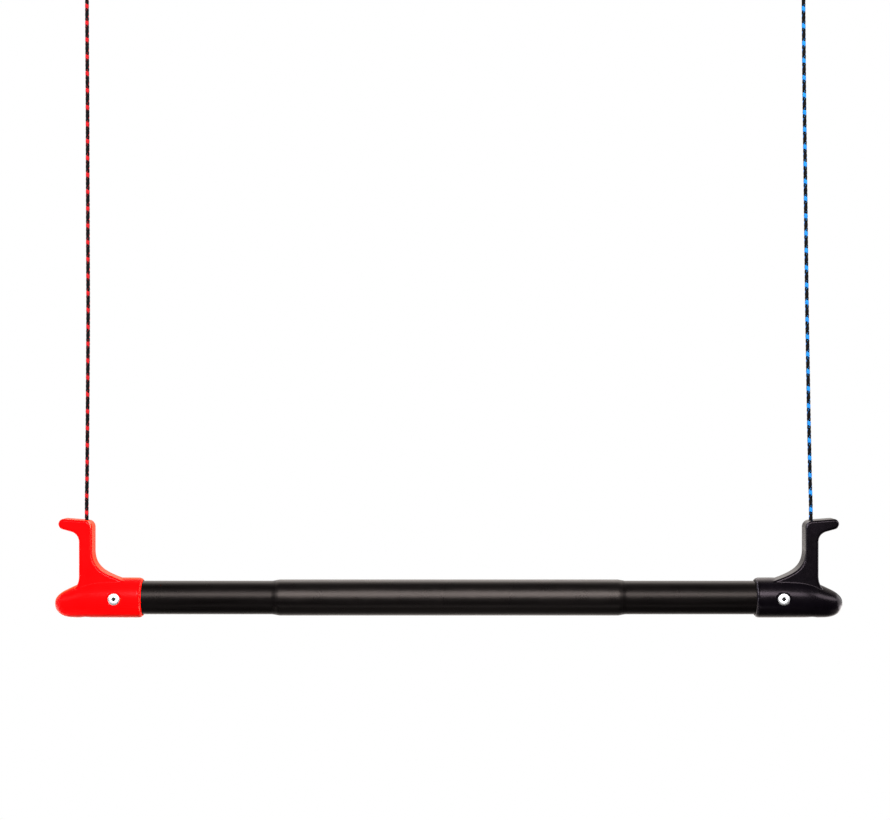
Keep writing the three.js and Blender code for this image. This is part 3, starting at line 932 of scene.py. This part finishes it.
def make_loop(name, top_x, yarns):
    """The loop that the flying line is hitched to, and the knot at its foot with its short tail."""
    low, high = LOOP_KNOT_LOW.z / MM, LOOP_KNOT_HIGH.z / MM
    wrap_radius, cord_radius = 0.95, 1.0
    out = LOOP_KNOT_HIGH.y / MM - wrap_radius
    middle = [(top_x, 0, low - 0.3), (top_x, 0, (low + high) / 2), (top_x, 0, high - 1)]
    tail = [(top_x + 1.0, 0.4, low + 3), (top_x + 1.7, 0.3, low), (top_x + 2.3, -0.1, low - 5)]
    round_it = wraps(top_x, low + wrap_radius, high - wrap_radius, turns=3.25, radius=out, inner=1.0)
    stretches = [(middle, cord_radius), (tail, cord_radius), (round_it, wrap_radius)]
    knot, _ = line_piece(f"loop_wraps_{name}", name, stretches, yarns, step=0.3)
    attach(knot, f"{name}_leader")
    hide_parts(f"loop_knot_{name}")

    radius = LINE_RADIUS / MM
    half = (END_LOOP_HIGH.x - END_LOOP_LOW.x) / 2 / MM - radius
    foot, crown = high - 1.2, END_LOOP_HIGH.z / MM - radius
    rise = crown - foot
    # The loop's right leg, sideways and upwards as shares of its half width and height.
    leg = [(0.25, 0), (0.33, 0.14), (0.70, 0.35), (1, 0.62), (0.78, 0.87)]
    up = [(top_x - half * w, 0, foot + rise * h) for w, h in leg]
    down = [(top_x + half * w, 0, foot + rise * h) for w, h in leg[::-1]]
    loop, _ = line_piece(f"loop_cord_{name}", name, [([*up, (top_x, 0, crown), *down], radius)], yarns)
    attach(loop, f"{name}_leader")
    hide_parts(f"end_loop_{name}")
    return [knot, loop]


def make_leader(name, side, yarns):
    """One leader: the line in its bore, its neck over the mouth, the free run, and its knots and loop."""
    x, radius = side * LINE_X / MM, LINE_RADIUS / MM
    mouth_z, neck_z = MOUTH_PIVOT_Z / MM, NECK_PIVOT_Z / MM
    # The neck's depth in the bore, and where each blend ends, below and above the neck's upper pivot.
    neck_depth, neck_give, run_give = 4, 1, 6
    foot_z, neck_foot_z = STUB_LOW.z / MM, mouth_z - neck_depth

    in_bore = [(x, 0, foot_z), (x, 0, neck_foot_z)]
    stub, _ = line_piece(f"line_in_bore_{name}", name, [(in_bore, radius)], yarns)
    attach(stub, "bar")
    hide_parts(f"leader_stub_{name}")
    make_stopper_knot(name, x, yarns)

    neck_points = [(x, 0, neck_foot_z), (x, 0, mouth_z), (x, 0, neck_z)]
    neck, _ = line_piece(f"line_neck_{name}", name, [(neck_points, radius)], yarns, step=0.25)
    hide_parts(f"leader_neck_{name}")
    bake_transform(neck)

    route = [(x, 0, neck_z)] + [(a, 0, b) for a, b in ROUTES[name]]
    run, path = line_piece(f"line_run_{name}", name, [(route, radius)], yarns)
    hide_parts(f"leader_line_{name}")
    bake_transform(run)
    knot_and_loop = make_loop(name, route[-1][0], yarns)


# ---------------------------------------------------------------- everything

bpy.context.scene.view_settings.view_transform = "Standard"
make_camera()
black_yarn = braided_yarn("yarn_black", (0.0008, 0.0008, 0.001), (0.0028, 0.0024, 0.003))
yarns = {
    "left": [black_yarn, braided_yarn("yarn_red", (0.20, 0.004, 0.006), (0.34, 0.007, 0.010))],
    "right": [black_yarn, braided_yarn("yarn_blue", (0.005, 0.09, 0.30), (0.015, 0.16, 0.46))],
}
for name, side in SIDES.items():
    make_leader(name, side, yarns[name])

make_world()
make_lights()
make_floor()
red_moulding = moulded_plastic(
    "red_moulding", SIDES["left"],
    deep=(0.90, 0.0008, 0.0012), light=(0.94, 0.0012, 0.0016),
    # Painted light: the rim colour is a reflection at glancing angles, the colour after it a highlight on
    # the inner edges.
    rim=(0.95, 0.045, 0.008), edge_highlight=(0.95, 0.13, 0.09),
    low_gloss=0.24, high_gloss=0.30, specular=0.02,
)
black_moulding = moulded_plastic(
    "black_moulding", SIDES["right"],
    deep=(0.0007, 0.0005, 0.0008), light=(0.0015, 0.0011, 0.0018),
    # Painted light: the rim colour is a reflection at glancing angles, the colour after it a highlight on
    # the inner edges.
    rim=(0.002, 0.0016, 0.0022), edge_highlight=(0.05, 0.046, 0.056),
    low_gloss=0.22, high_gloss=0.28, specular=0.17,
)
make_caps({"left": red_moulding, "right": black_moulding})
make_skin(satin_skin("bar_skin_over_pad", specular=0.20), satin_skin("bar_skin_over_tube", specular=0.11))
# Near-black steel for the mandrels: painted shade down the rivets' bores.
steel = metal("mandrel_steel_painted_shade", (0.02, 0.02, 0.02), (0.05, 0.05, 0.052), smooth=0.5, rough=0.7)
alloy = metal("rivet_alloy_bright", (0.60, 0.61, 0.62), (0.70, 0.70, 0.71), smooth=0.40, rough=0.50)
# Near-black metal for the rivets' bores: painted shade in the holes.
dark = metal("rivet_bore_painted_shade", (0.01, 0.01, 0.01), (0.02, 0.02, 0.02), smooth=0.6, rough=0.8)
make_rivets(alloy, dark, steel)

foam = closed_cell_foam()
drawn_alloy = metal("tube_alloy_drawn", (0.55, 0.56, 0.58), (0.78, 0.79, 0.80), smooth=0.22, rough=0.4,
                    stretch=(0.05, 1, 1))
carried = {
    "bar_tube": drawn_alloy,
    "grip_pad": foam,
    "tube_bung_left": foam,
    "tube_bung_right": foam,
}
for name, material in carried.items():
    for slot in frame["nodes"][name].material_slots:
        slot.material = material
